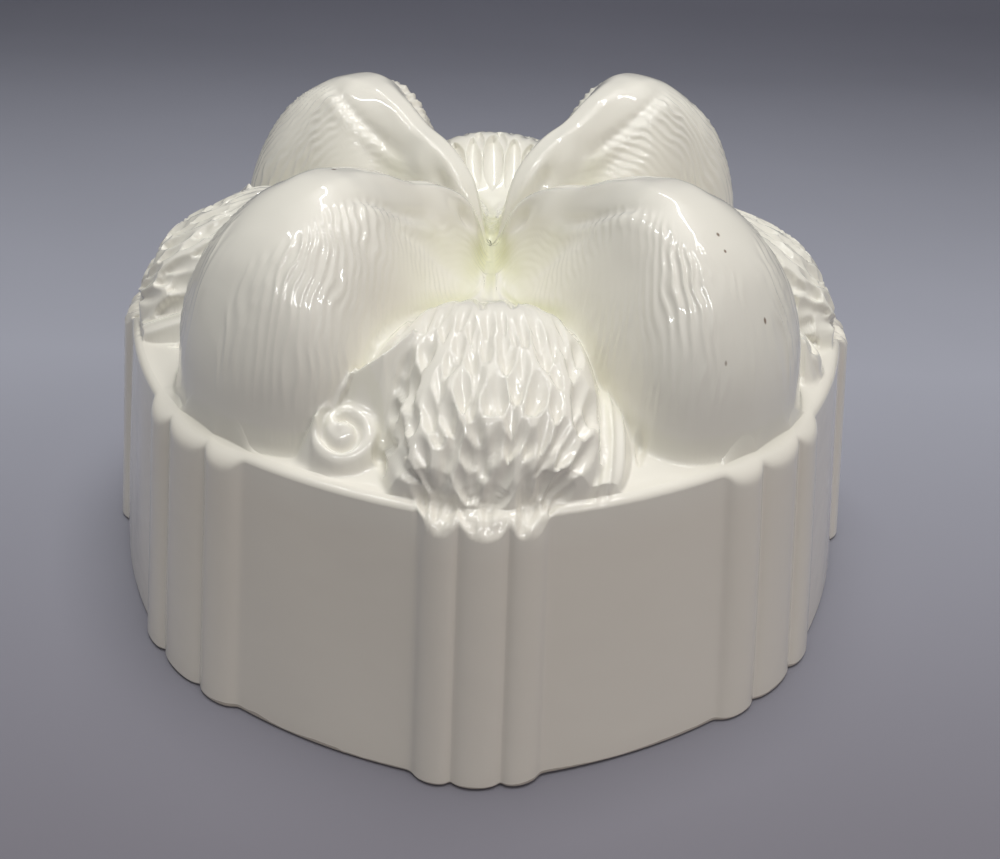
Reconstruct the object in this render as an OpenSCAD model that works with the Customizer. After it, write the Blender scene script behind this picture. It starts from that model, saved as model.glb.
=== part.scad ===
// Jelly mould in glazed creamware, shown as it stands to dry or to be stored:
// mouth down on the table, moulded crown up. The clay is one hollow casting.
// Origin: middle of the mouth, on the plane the mouth rests on. +Z is up through
// the crown. -Y is the side that faces the viewer. Millimetres.
//
// Every surface can leave a one-way plaster mould, so the crown is a height over
// the plan with no undercut anywhere, and the wall leans in as it rises.

/* [Wall] */

// Width of the mouth over the outermost reeds, mm
mouth_across = 188; // [176:1:200]
// Height of the reeded wall, table to rim, mm
wall_h = 58.5; // [48:0.5:68]
// Lean of the wall inward from upright, degrees
wall_draft = 9; // [7:0.5:11]
// Thickness of the fired clay, mm
wall_t = 4.5; // [3.5:0.25:6]
// Outward bow of each plain panel at its middle, mm
panel_bow = 1.6; // [0.4:0.2:3]
// Rounding of the edge the mould stands on, mm
foot_round = 1; // [0.4:0.2:1.6]

/* [Reeds] */

// How far each reed stands out from the grooves beside it, mm
reed_rise = 2; // [1:0.25:3]
// Width of the middle reed of each face group, mm
face_reed_mid = 9.8; // [7:0.2:12]
// Width of the two side reeds of each face group, mm
face_reed_side = 7.6; // [5.6:0.2:9]
// Width of the middle reed of each corner group, mm
corner_reed_mid = 14; // [11:0.5:17]
// Width of the two side reeds of each corner group, mm
corner_reed_side = 10.2; // [8.1:0.3:12]
// How far the rounded head of a reed falls below the rim, mm
reed_head_drop = 3; // [1:0.25:4]

/* [Lobes] */

// Height of the lobe peaks above the rim, mm
lobe_rise = 43.5; // [35:0.5:50]
// Length of a lobe from the middle of the crown, mm
lobe_reach = 79; // [75:0.5:80]
// Half width of a lobe at its widest, mm
lobe_half_w = 23; // [20:0.5:26]
// Fullness of a lobe's sides, larger is squarer
lobe_fullness = 2.4; // [2:0.1:3]
// Half width of the smooth band along a lobe's crest, mm
crest_half_w = 4.2; // [3:0.2:6]
// Depth of the hollow beside the crest, mm
hollow_depth = 2.6; // [1:0.2:3.6]
// Distance from the crest line to the middle of the hollow, mm
hollow_out = 8; // [7:0.25:9.5]

/* [Leaf bunches] */

// Height of a bunch above the rim, mm
bunch_rise = 25; // [18:0.5:28]
// Half width of a bunch at its widest, mm
bunch_half_w = 22.5; // [19:0.5:25]
// Number of leaves across a bunch
leaf_count = 7; // [5:1:9]
// Distance from one row of leaves to the next, mm
leaf_pitch = 8; // [6.5:0.5:10]
// How far the tip of a leaf stands out, mm
leaf_rise = 2.2; // [1:0.2:3]

/* [Scrolls] */

// Radius of the scroll at one side of each bunch, mm
scroll_r = 7.8; // [6.6:0.2:9]
// Distance from the middle of the scroll to the middle of its bunch, mm
scroll_out = 25; // [23:0.5:27]
// Width of the rolled band from turn to turn, mm
scroll_pitch = 4.8; // [4:0.2:6]
// How far the rolled band stands out, mm
scroll_rise = 1.6; // [1.2:0.2:3]
// Lean of the scroll's face towards the rim, degrees
scroll_lean = 20; // [0:1:30]

/* [Side leaves] */

// Distance from the middle of a side leaf to the middle of its bunch, mm
side_leaf_out = 22; // [20.5:0.5:24]
// Half length of a side leaf, mm
side_leaf_half_len = 16; // [12:0.5:18]
// Half width of a side leaf, mm
side_leaf_half_w = 5; // [4:0.25:6]
// Height of a side leaf above the ledge, mm
side_leaf_rise = 8; // [5:0.5:11]

/* [Crown middle] */

// Height of the middle of the crown above the rim, mm
middle_rise = 15.5; // [12:0.5:19]
// Rise of the narrow ledge inside the rim, mm
ledge_rise = 1.4; // [0.6:0.2:2.4]

/* [Hidden] */

// The plan was measured at a groove circle of this radius: all plan sizes that
// are not set above follow the mouth in this proportion.
plan_ref = 92;
groove_r = mouth_across / 2 - reed_rise;
q = groove_r / plan_ref;
face_side_drop = 2;
corner_mid_in = 2.2;
corner_side_drop = 1.8;
corner_turn = 45;
quarter_turn = 90;
rim_share = 1 - wall_h * tan(wall_draft) / groove_r;

// Steps round the plan, one quarter: face group, panel, corner group, panel.
reed_steps = 4;
reeds = 3;
panel_a_steps = 10;
panel_b_plain_steps = 3;
panel_b_scroll_steps = 11;
panel_b_plain_share = 0.27;
panel_b_steps = panel_b_plain_steps + panel_b_scroll_steps;
quarter_n = 2 * reeds * reed_steps + panel_a_steps + panel_b_steps;
ring_n = 4 * quarter_n;

// Rings of the crown as shares of the rim: all steps, half the steps, a quarter.
crown_rings = [0.985, 0.965, 0.94, 0.91, 0.88, 0.85, 0.82, 0.785, 0.75, 0.715, 0.68, 0.645, 0.61, 0.575, 0.54,
    0.5, 0.455];
crown_rings_half = [0.41, 0.36, 0.31, 0.26, 0.21, 0.165];
crown_rings_quarter = [0.12, 0.075, 0.035];
inside_rings = [0.95, 0.87, 0.79, 0.71, 0.63, 0.55, 0.47];
inside_rings_quarter = [0.38, 0.28, 0.18, 0.08];

// Lobe crest: share of the reach, share of the rise.
crest_line = [[0, 0.34], [0.04, 0.42], [0.07, 0.53], [0.1, 0.61], [0.15, 0.7], [0.2, 0.755], [0.25, 0.79], [0.33, 0.83],
    [0.42, 0.915], [0.5, 0.965], [0.58, 0.99], [0.64, 0.985], [0.7, 0.955], [0.76, 0.895], [0.82, 0.81], [0.87, 0.71],
    [0.91, 0.58], [0.945, 0.435], [0.97, 0.305], [0.985, 0.19], [0.995, 0.08], [1, 0], [1.2, 0]];
// Lobe plan: share of the reach, share of the half width.
lobe_plan = [[0, 0.02], [0.06, 0.18], [0.12, 0.36], [0.19, 0.53], [0.26, 0.63], [0.34, 0.69], [0.45, 0.74],
    [0.54, 0.8], [0.63, 0.88], [0.72, 0.96], [0.79, 1], [0.85, 0.985], [0.89, 0.92], [0.925, 0.8], [0.955, 0.64],
    [0.98, 0.43], [1, 0.06], [1.2, 0.06]];
// A lobe's sides are spooned out at its neck and full further out: shares of the reach.
spoon_from = 0.2;
spoon_to = 0.6;
spoon_power = 1.7;
// Hollow beside the crest: share of the reach, share of the depth.
hollow_run = [[0.2, 0], [0.32, 0.6], [0.45, 1], [0.6, 0.9], [0.72, 0]];
// Bunch along its middle: share of its length, share of its rise.
bunch_line = [[0, 0.3], [0.3, 0.46], [0.36, 0.56], [0.4, 0.64], [0.44, 0.72], [0.48, 0.805], [0.52, 0.89],
    [0.56, 0.96], [0.6, 1], [0.64, 0.99], [0.7, 0.92], [0.76, 0.84], [0.83, 0.73], [0.88, 0.6], [0.92, 0.46],
    [0.955, 0.27], [0.98, 0.09], [1, 0], [1.2, 0]];
// Bunch plan: share of its length, share of its half width. On the left a stem
// runs out to the scroll, on the right the side leaf lies against the bunch.
bunch_left = [[0, 0.02], [0.3, 0.06], [0.36, 0.24], [0.4, 0.44], [0.44, 0.58], [0.52, 0.8], [0.6, 0.96],
    [0.65, 1.1], [0.69, 1.22], [0.715, 1.2], [0.74, 1], [0.765, 0.84], [0.84, 0.82], [0.9, 0.77], [0.96, 0.66],
    [1, 0.58], [1.2, 0.58]];
bunch_right = [[0, 0.02], [0.3, 0.06], [0.36, 0.24], [0.4, 0.44], [0.44, 0.58], [0.52, 0.8], [0.6, 0.9],
    [0.7, 0.98], [0.76, 1], [0.84, 0.99], [0.9, 0.88], [0.96, 0.7], [1, 0.58], [1.2, 0.58]];
bunch_reach = 84;
leaf_start = 32;
leaf_len = 1.7;
bunch_side = 2.2;
scroll_along = 67;
scroll_lift = 2.4;
scroll_edge = 3.5;
side_leaf_lean = 0.22;
lip_drop = 1;
core_r = 72;
blend = 1.5;
soften_r = 2.2;
tiny = 0.001;

/* Plan of the wall */

function turned(p, a) = [p[0] * cos(a) - p[1] * sin(a), p[0] * sin(a) + p[1] * cos(a)];
// A place given across and out from the middle, at an angle round the plan.
function plan_at(t, r, a) = turned([t, -r], a);
function arch(s) = sqrt(max(0, 1 - (2 * s - 1) * (2 * s - 1)));
function mixed(a, b, s) = a + (b - a) * s;

face_t = [-(face_reed_mid / 2 + face_reed_side), -face_reed_mid / 2, face_reed_mid / 2, face_reed_mid / 2 + face_reed_side];
face_r = [groove_r - face_side_drop, groove_r, groove_r, groove_r - face_side_drop];
corner_t = [-(corner_reed_mid / 2 + corner_reed_side), -corner_reed_mid / 2, corner_reed_mid / 2,
    corner_reed_mid / 2 + corner_reed_side];
corner_side_r = groove_r - corner_mid_in - corner_side_drop;
corner_r = [corner_side_r, groove_r - corner_mid_in, groove_r - corner_mid_in, corner_side_r];

// Each entry: x, y, and how much of a reed stands here (0 groove, 1 crown of reed).
function reed_group(ts, rs, a) = [
    for (k = [0:reeds - 1])
        for (i = [0:reed_steps - 1])
            let (s = i / reed_steps, b = arch(s))
            let (p = plan_at(mixed(ts[k], ts[k + 1], s), mixed(rs[k], rs[k + 1], s) + reed_rise * b, a))
            [p[0], p[1], b]
];
function panel(p0, p1, shares) = [
    for (s = shares)
        let (d = p1 - p0, n = [d[1], -d[0]] / norm(d), o = panel_bow * (1 - (2 * s - 1) * (2 * s - 1)))
        [p0[0] + d[0] * s + n[0] * o, p0[1] + d[1] * s + n[1] * o, 0]
];
even_shares = [for (i = [0:panel_a_steps - 1]) i / panel_a_steps];
scroll_shares = [
    for (i = [0:panel_b_steps - 1])
        i < panel_b_plain_steps ? panel_b_plain_share * i / panel_b_plain_steps
        : panel_b_plain_share + (1 - panel_b_plain_share) * (i - panel_b_plain_steps) / panel_b_scroll_steps
];
quarter = concat(
    reed_group(face_t, face_r, 0),
    panel(plan_at(face_t[3], face_r[3], 0), plan_at(corner_t[0], corner_r[0], corner_turn), even_shares),
    reed_group(corner_t, corner_r, corner_turn),
    panel(plan_at(corner_t[3], corner_r[3], corner_turn), plan_at(face_t[0], face_r[0], quarter_turn), scroll_shares)
);

/* Height of the crown over the plan, mm above the rim */

function softer(a, b) = let (h = max(blend - abs(a - b), 0) / blend) max(a, b) + h * h * blend / 4;
function smooth_step(s) = let (c = min(1, max(0, s))) c * c * (3 - 2 * c);
function core(r) = ledge_rise * smooth_step((1 - r / (groove_r * rim_share)) / 0.1)
    + (middle_rise - ledge_rise) * max(0, 1 - (r / (core_r * q)) * (r / (core_r * q)));

// u runs out along the lobe, v across it.
function lobe(u, v) =
    let (s = u / lobe_reach / q, half = lobe_half_w * q * lookup(s, lobe_plan), w = abs(v) / half)
    let (full = pow(max(0, 1 - pow(min(1, w), lobe_fullness)), 0.5), flat = 0.6 * min(crest_half_w, half / 2))
    let (spoon = pow(1 - min(1, max(0, abs(v) - flat) / (half - flat)), spoon_power))
    let (side = mixed(spoon, full, smooth_step((s - spoon_from) / (spoon_to - spoon_from))))
    let (off = (abs(v) - hollow_out) / (hollow_out - crest_half_w), floor = core(norm([u, v])))
    let (dip = hollow_depth * lookup(s, hollow_run) * max(0, 1 - off * off))
    s < 0 || s > 1 || w > 1 ? -1 : mixed(floor, lobe_rise * lookup(s, crest_line), side) - dip;

function leaf(t, s, row) =
    let (a = (s - row) / leaf_len, c = t + (row % 2) / 2, f = 2 * abs(c - round(c)))
    let (w = a < 0.55 ? 1 : sqrt(max(tiny, 1 - pow((a - 0.55) / 0.45, 2))))
    a < 0 || a > 1 || f > w ? 0 : leaf_rise * (0.35 + 0.65 * a) * sqrt(max(0, 1 - (f / w) * (f / w)));
function bunch_half(x, s) = bunch_half_w * q * lookup(s, x < 0 ? bunch_left : bunch_right);
function bunch_body(x, y) =
    let (s = y / bunch_reach / q, w = abs(x) / bunch_half(x, s), floor = core(norm([x, y])))
    s < 0 || w > 1 ? -1 : mixed(floor, bunch_rise * lookup(s, bunch_line), pow(1 - pow(w, bunch_side), 0.5));
function bunch_leaves(x, y) =
    let (s = y / bunch_reach / q, w = x / bunch_half(x, s))
    let (k = (y - leaf_start * q) / leaf_pitch, row = floor(k), t = w * leaf_count / 2)
    s < 0 || s > 1 || abs(w) > 1 || k < 0 ? 0
    : (1 - pow(w, 6)) * smooth_step(k) * max(leaf(t, k, row), leaf(t, k, row - 1));
function scroll(x, y) =
    let (d = [x + scroll_out * q, y - scroll_along * q], n = norm(d) / scroll_r, a = atan2(d[1], d[0]) / 360)
    let (turn = norm(d) / scroll_pitch + a, lean = (scroll_r - d[1]) * tan(scroll_lean))
    let (roll = scroll_rise * (0.5 + 0.5 * cos(360 * turn)), edge = min(1, scroll_edge * (1 - n)))
    n > 1 ? -1 : (scroll_lift + lean + roll) * edge;

// One long leaf lies against the other side of each bunch.
function side_leaf(x, y) =
    let (lean = (y - scroll_along * q) * side_leaf_lean, a = (x - side_leaf_out * q - lean) / side_leaf_half_w)
    let (b = (y - scroll_along * q) / side_leaf_half_len, n = a * a + b * b)
    n > 1 ? -1 : side_leaf_rise * sqrt(1 - n);

// Everything repeats each quarter turn, so a place is first turned to the face it belongs to.
function faced(p) = let (a = atan2(p[0], -p[1]), k = round(a / quarter_turn)) turned(p, -quarter_turn * k);
function plain_crown(p) =
    let (f = faced(p), x = f[0], y = -f[1], u = (abs(x) + y) / sqrt(2), v = (y - abs(x)) / sqrt(2))
    softer(softer(core(norm(p)), lobe(u, v)), bunch_body(x, y));

// Glaze and the wear of the plaster soften every edge: the height of the main
// forms is the mean of the sharp form over a small round patch.
patch_turns = [0, 60, 120, 180, 240, 300];
function patch(p, d) = [for (a = patch_turns) p + d * [cos(a), sin(a)]];
function mean(v) = v * [for (k = v) 1] / len(v);
function soft_crown(p) = mean(concat(
    [plain_crown(p)],
    [for (k = patch(p, soften_r * 0.5)) plain_crown(k)],
    [for (k = patch(p, soften_r)) plain_crown(k)]));
function crown(p) =
    let (f = faced(p), x = f[0], y = -f[1], u = (abs(x) + y) / sqrt(2), v = (y - abs(x)) / sqrt(2))
    let (b = bunch_body(x, y), c = softer(core(norm(p)), lobe(u, v)), w = scroll(x, y), g = side_leaf(x, y))
    let (leaves = b > c ? min(1, (b - c) / blend) * bunch_leaves(x, y) : 0)
    let (h = soft_crown(p) + leaves, ledge = core(norm(p)))
    softer(g < 0 ? h : softer(h, ledge + g), w < 0 ? w : ledge + w);

// Clay left under the crown: the lowest nearby surface, less the clay thickness.
probe_turns = [0, 45, 90, 135, 180, 225, 270, 315];
function sharp_under(p) = min(concat(
    [plain_crown(p) - wall_t],
    [for (a = probe_turns) plain_crown(p + wall_t * 1.25 * [cos(a), sin(a)])],
    [for (a = probe_turns) plain_crown(p + wall_t * 0.8 * [cos(a), sin(a)]) - wall_t * 0.7]));
function under_crown(p) = mean([for (k = patch(p, wall_t * 0.5)) sharp_under(k)]);

/* Skin of the casting, built ring by ring */

function level_ring(share, z, step) = [for (i = [0:step:quarter_n - 1]) [quarter[i][0] * share, quarter[i][1] * share, z]];
function whole(part) = [
    for (k = [0:3])
        for (p = part)
            let (t = turned([p[0], p[1]], quarter_turn * k))
            [t[0], t[1], p[2]]
];
foot_share = 1 - foot_round / groove_r;
foot_side_share = 1 - foot_round * tan(wall_draft) / groove_r;
head_ring = [
    for (i = [0:quarter_n - 1])
        let (q0 = quarter[i], z = wall_h - lip_drop - reed_head_drop * q0[2], s = 1 - z * tan(wall_draft) / groove_r)
        [q0[0] * s, q0[1] * s, z]
];
lip_ring = [
    for (i = [0:quarter_n - 1])
        let (q0 = quarter[i], s = rim_share - 0.004)
        [q0[0] * s, q0[1] * s, wall_h - reed_head_drop * 0.45 * q0[2]]
];
function crown_ring(share, step) = [
    for (i = [0:step:quarter_n - 1])
        let (p = [quarter[i][0], quarter[i][1]] * rim_share * share)
        [p[0], p[1], wall_h + crown(p)]
];
function inside_ring(share, step) = [
    for (i = [0:step:quarter_n - 1])
        let (p = [quarter[i][0], quarter[i][1]] * rim_share * share)
        [p[0], p[1], wall_h + under_crown(p)]
];
function inside_level(z, step) = [
    for (i = [0:step:quarter_n - 1])
        let (q0 = quarter[i], r = norm([q0[0], q0[1]]), back = wall_t + reed_rise * q0[2] + z * tan(wall_draft))
        [q0[0] * (1 - back / r), q0[1] * (1 - back / r), z]
];
inside_top = wall_h - wall_t - reed_head_drop;

outer_full = concat([level_ring(foot_share, 0, 1), level_ring(foot_side_share, foot_round, 1), head_ring, lip_ring],
    [for (s = crown_rings) crown_ring(s, 1)]);
outer_half = [for (s = crown_rings_half) crown_ring(s, 2)];
outer_quarter = [for (s = crown_rings_quarter) crown_ring(s, 4)];
inner_half = concat([inside_level(0, 2), inside_level(inside_top, 2)], [for (s = inside_rings) inside_ring(s, 2)]);
inner_quarter = [for (s = inside_rings_quarter) inside_ring(s, 4)];

points = concat(
    [for (r = outer_full) each whole(r)],
    [for (r = outer_half) each whole(r)],
    [for (r = outer_quarter) each whole(r)],
    [[0, 0, wall_h + crown([0, tiny])]],
    [for (r = inner_half) each whole(r)],
    [for (r = inner_quarter) each whole(r)],
    [[0, 0, wall_h + under_crown([0, tiny])]]
);
half_n = ring_n / 2;
fourth_n = ring_n / 4;
at_full = 0;
at_half = at_full + len(outer_full) * ring_n;
at_fourth = at_half + len(outer_half) * half_n;
at_top = at_fourth + len(outer_quarter) * fourth_n;
at_in_half = at_top + 1;
at_in_fourth = at_in_half + len(inner_half) * half_n;
at_in_top = at_in_fourth + len(inner_quarter) * fourth_n;

// Faces between a ring and the next one of the same steps. Each four-sided patch is
// cut along the diagonal that climbs less, so that edges run along a steep side.
function band(a, b, n) = [
    for (i = [0:n - 1])
        let (j = (i + 1) % n, one = abs(points[a + i][2] - points[b + j][2]), two = abs(points[a + j][2] - points[b + i][2]))
        each one <= two + tiny
            ? [[a + i, b + i, b + j], [a + i, b + j, a + j]]
            : [[a + i, b + i, a + j], [b + i, b + j, a + j]]
];
// Faces between a ring of n steps and one of half as many.
function step_band(a, b, n) = [
    for (i = [0:n / 2 - 1])
        let (j = (i + 1) % (n / 2), a0 = a + 2 * i, a1 = a + 2 * i + 1, a2 = a + (2 * i + 2) % n)
        each [[a0, b + i, a1], [a1, b + i, b + j], [a1, b + j, a2]]
];
function cap(a, c, n) = [for (i = [0:n - 1]) [a + i, c, a + (i + 1) % n]];
function flipped(fs) = [for (f = fs) [f[2], f[1], f[0]]];

function outer_faces() = concat(
    [for (k = [0:len(outer_full) - 2]) each band(at_full + k * ring_n, at_full + (k + 1) * ring_n, ring_n)],
    step_band(at_half - ring_n, at_half, ring_n),
    [for (k = [0:len(outer_half) - 2]) each band(at_half + k * half_n, at_half + (k + 1) * half_n, half_n)],
    step_band(at_fourth - half_n, at_fourth, half_n),
    [for (k = [0:len(outer_quarter) - 2]) each band(at_fourth + k * fourth_n, at_fourth + (k + 1) * fourth_n, fourth_n)],
    cap(at_top - fourth_n, at_top, fourth_n)
);
function inner_faces() = concat(
    step_band(at_full, at_in_half, ring_n),
    [for (k = [0:len(inner_half) - 2]) each band(at_in_half + k * half_n, at_in_half + (k + 1) * half_n, half_n)],
    step_band(at_in_fourth - half_n, at_in_fourth, half_n),
    [for (k = [0:len(inner_quarter) - 2])
        each band(at_in_fourth + k * fourth_n, at_in_fourth + (k + 1) * fourth_n, fourth_n)],
    cap(at_in_top - fourth_n, at_in_top, fourth_n)
);

// The whole casting: reeded wall, crown and the hollow under them.
module mould() {
    color([0.92, 0.92, 0.87])
        polyhedron(points = points, faces = concat(outer_faces(), flipped(inner_faces())), convexity = 12);
}

mould();
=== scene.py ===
"""Looks of a creamware jelly mould: one fired-clay casting with a moulded crown.

The casting is one closed skin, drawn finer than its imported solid. The crown is a height
over the plan, raised into lobes and bunches of leaves. Fine relief stands square to that
surface: overlapping leaves, growth lines and facets. The wall below it is reeded, and the
hollow follows the outside. Sizes inside the forms are millimetres; meshes are metres.
"""

import math

import bpy
import numpy as np
from bpy.props import FloatProperty, FloatVectorProperty, IntProperty, PointerProperty
from mathutils import Matrix, Vector


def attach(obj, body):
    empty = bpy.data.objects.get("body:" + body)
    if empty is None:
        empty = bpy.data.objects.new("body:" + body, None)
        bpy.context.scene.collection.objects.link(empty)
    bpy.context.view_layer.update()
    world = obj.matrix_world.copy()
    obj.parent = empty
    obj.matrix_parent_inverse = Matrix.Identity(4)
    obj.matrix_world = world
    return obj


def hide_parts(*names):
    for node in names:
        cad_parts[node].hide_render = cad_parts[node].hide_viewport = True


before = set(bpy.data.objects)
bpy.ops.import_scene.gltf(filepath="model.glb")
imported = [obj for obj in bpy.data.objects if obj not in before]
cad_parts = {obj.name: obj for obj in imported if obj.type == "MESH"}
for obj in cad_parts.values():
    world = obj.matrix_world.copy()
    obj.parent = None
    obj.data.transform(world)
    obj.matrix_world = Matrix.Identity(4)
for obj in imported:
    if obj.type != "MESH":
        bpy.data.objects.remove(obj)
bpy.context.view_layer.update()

bl_info = {
    "name": "Creamware jelly mould",
    "version": (1, 0, 0),
    "blender": (4, 2, 0),
    "location": "View3D > Sidebar > Mould",
    "description": "Fine casting, glaze and studio for a moulded creamware jelly mould",
    "category": "Object",
}

MM = 0.001
NODE = "mould"
BODY = "root"

# ---------------------------------------------------------------- shapes as tables

# Crest of a lobe: share of its reach, share of its rise.
CREST_LINE = (
    (0, 0.3), (0.03, 0.4), (0.06, 0.5), (0.1, 0.61), (0.15, 0.7), (0.2, 0.755), (0.25, 0.79),
    (0.33, 0.83), (0.42, 0.915), (0.5, 0.965), (0.58, 0.99), (0.64, 0.985), (0.7, 0.955),
    (0.76, 0.895), (0.82, 0.81), (0.87, 0.71), (0.91, 0.58), (0.945, 0.435), (0.97, 0.305),
    (0.985, 0.19), (0.995, 0.08), (1, 0), (1.2, 0),
)
# Plan of a lobe: share of its reach, share of its half width.
LOBE_PLAN = (
    (0, 0), (0.06, 0.18), (0.12, 0.36), (0.19, 0.53), (0.26, 0.63), (0.34, 0.69), (0.45, 0.74),
    (0.54, 0.8), (0.63, 0.88), (0.72, 0.96), (0.79, 1), (0.85, 0.985), (0.89, 0.92),
    (0.925, 0.8), (0.955, 0.64), (0.98, 0.43), (1, 0.06), (1.2, 0.06),
)
# Hollow beside a crest: share of the reach, share of the depth.
HOLLOW_RUN = ((0, 0), (0.2, 0), (0.32, 0.6), (0.45, 1), (0.6, 0.9), (0.72, 0), (1.2, 0))
# A bunch of leaves along its middle: share of its length, share of its rise.
BUNCH_LINE = (
    (0, 0.3), (0.3, 0.46), (0.36, 0.56), (0.4, 0.64), (0.44, 0.72), (0.48, 0.805), (0.52, 0.89),
    (0.56, 0.96), (0.6, 1), (0.64, 0.99), (0.7, 0.92), (0.76, 0.84), (0.83, 0.73), (0.88, 0.6),
    (0.92, 0.46), (0.955, 0.27), (0.98, 0.09), (1, 0), (1.2, 0),
)
# Plan of a bunch, on its left and on its right: share of its length, share of its half width.
BUNCH_LEFT = (
    (0, 0), (0.3, 0.06), (0.36, 0.24), (0.4, 0.44), (0.44, 0.58), (0.52, 0.8), (0.6, 0.96),
    (0.65, 1.08), (0.69, 1.14), (0.72, 1.04), (0.76, 0.84), (0.84, 0.82), (0.9, 0.77),
    (0.96, 0.66), (1, 0.58), (1.2, 0.58),
)
BUNCH_RIGHT = (
    (0, 0), (0.3, 0.06), (0.36, 0.24), (0.4, 0.44), (0.44, 0.58), (0.52, 0.8), (0.6, 0.9),
    (0.7, 0.98), (0.76, 1), (0.84, 0.99), (0.9, 0.88), (0.96, 0.7), (1, 0.58), (1.2, 0.58),
)
# The four lobes were pressed by hand, so they differ: place round the plan and turn from it,
# in degrees, extra rise in mm, and share of the width.
LOBES = (
    (-45, 3.0, 0.0, 1.0), (45, -0.6, 0.0, 1.0), (-135, -2.5, 0.0, 1.09), (135, 1.0, 2.5, 1.02),
)
# Leaves on the inner face of a bunch, a middle one between pairs: base, middle and tip,
# each across and out from the middle of the crown, then the half width, all in mm.
INNER_LEAVES = (
    (0, 33, 0, 41, 0, 50, 2.6),
    (-3.4, 34, -5, 41, -5.6, 49, 1.7), (3.4, 34, 5, 41, 5.6, 49, 1.7),
    (-6.4, 36, -9, 42, -10.4, 49, 1.7), (6.4, 36, 9, 42, 10.6, 49, 1.7),
    (-9.6, 38, -13, 45, -14.8, 53, 1.6), (10, 38, 13.4, 44, 15.6, 50, 1.6),
    (2.8, 43, 3.8, 47, 4, 52, 1.2), (-2.4, 43, -2.2, 47, -1.4, 53, 1.2),
)
# The outer face of a bunch is steep, so places on it are given across and down the face.
# Down is measured on a plane 33 degrees from level: these shares of out and of the fall.
DOWN_PER_OUT, DOWN_PER_FALL = 0.545, 0.839
# Forms laid over the outer face: base, middle and tip, each across and down, then the half width.
OVERLAID = (
    # buds beside the scroll
    (-17.8, 44, -17.4, 47, -17, 50, 1.5), (-17.2, 51.4, -17.4, 53.6, -17.2, 56, 1.2),
    (-19.6, 53, -19.4, 56.6, -18, 60, 1.0),
    # on the right: the side leaf's vein and a bud on the ledge
    (19.8, 41, 21.4, 48, 20.6, 57, 0.9), (28.4, 49.6, 28.8, 53, 28.2, 57.4, 0.9),
)
# Outer leaves lie in rows that narrow towards the reeds: distance down the face, half width
# of the bunch there, mm.
LEAF_SPREAD = (
    (20, 8), (26, 11), (30, 15), (36, 18.5), (44, 21), (52, 20.5), (58, 18), (62, 15.5),
    (66, 13.4), (72, 12.4),
)
# How many rows, how far down the first one starts, how far apart they are, and how long and
# how many the leaves in a row are.
LEAF_ROWS, FIRST_ROW, LEAF_ROW_GAP, LEAF_LENGTH, LEAVES_ACROSS = 11, 23.5, 4.1, 10.4, 11
# The lowest leaves are drawn towards the heads of the three reeds: their places across, mm.
REED_HEADS = (-9.2, 0.0, 8.8)
# Groove of the scroll, as turn in degrees from its right side and distance from its middle
# in mm, and the turn that it starts and ends at.
SCROLL_GROOVE = (
    (20, 6.0), (75, 5.7), (115, 5.2), (150, 4.6), (180, 3.9), (210, 3.4), (270, 3.4), (330, 3.1),
    (360, 2.8), (400, 2.5), (450, 2.2), (500, 1.9),
)
GROOVE_START, GROOVE_END = 60, 500
# Outer edge of the scroll, in the same way.
SCROLL_EDGE = (
    (0, 6.5), (30, 6.8), (60, 7.0), (90, 7.1), (120, 6.9), (150, 6.5), (180, 6.1), (225, 6.1),
    (270, 6.3), (330, 6.3), (360, 6.5),
)
# The scroll's middle across, out and above the rim, mm, and how steeply its face falls
# towards the rim.
SCROLL_PLACE = (-26.0, 67.5, 7.1)
SCROLL_FALL = 0.8
# Line of the scroll's stem: across, out and above the rim, mm.
STEM = (
    (-31, 66.4, 9.2), (-28.6, 63, 12.1), (-25.2, 61.2, 14.9), (-19, 60.6, 19.1),
    (-13.8, 57.6, 22.7),
)
# The side leaf: its middle across and out, half width, half length and height, mm, and how
# its spine bends.
SIDE_PLACE, SIDE_HALF_W, SIDE_HALF_L, SIDE_RISE, SIDE_BEND = (21.3, 62.5), 5.8, 16, 8.6, 0.006
SIDE_RIB_GAP = 2.1
# Growth lines start round a point near each crest: out, to each side and above the rim, mm.
# They lie this far apart there, mm, and this much further for each mm on.
GROWTH_FROM = (24, 10, 12)
GROWTH_GAP, GROWTH_OPENING = 1.25, 0.028

# Specks of iron in the clay: place and radius in mm.
SPECKS = (
    (-30.5, -32.6, 101, 0.6), (41.2, -45.6, 96, 0.45), (42.4, -48.1, 94, 0.35),
    (51.1, -51.5, 82, 0.45), (42.9, -59.9, 77, 0.4), (-11, -47.2, 81.4, 0.3),
    (-39.5, -58, 84, 0.4), (-35.4, -49.4, 95, 0.3), (37, 41, 101, 0.5),
    (14.6, -89.3, 56, 0.4), (18.6, -88.8, 56, 0.3),
)

# Radius of the wall's grooves that the places above were read at, mm.
PLAN_REF = 92.0
# How far a bunch and the middle of the crown reach out at that radius, mm.
BUNCH_REACH, MIDDLE_REACH = 84, 72
# Height given where a form isn't, mm: below everything else.
NOWHERE = -9.0
# Points along a face reed, a corner reed and a panel, and how far glaze rounds the plan, mm.
PLAN_STEPS, PLAN_ROUNDING = (20, 16, 94), 0.8
# How far the lip between wall and ledge rounds in, and how much more at a reed's head, mm.
LIP_IN, REED_HEAD_IN = 1.8, 2.6
# Rings on the steep face where a bunch of leaves comes down on the rim.
CLIFF_RINGS = 14
# Rings of the crown: from and to as shares of the rim, every which point of the plan, and
# the gap in mm where the rim is 80 mm from the middle.
CROWN_RINGS = (
    (0.996, 0.9, 1, 0.24), (0.895, 0.4, 1, 0.42), (0.395, 0.2, 2, 0.42), (0.195, 0.08, 4, 0.42),
    (0.076, 0.012, 8, 0.5),
)
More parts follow.
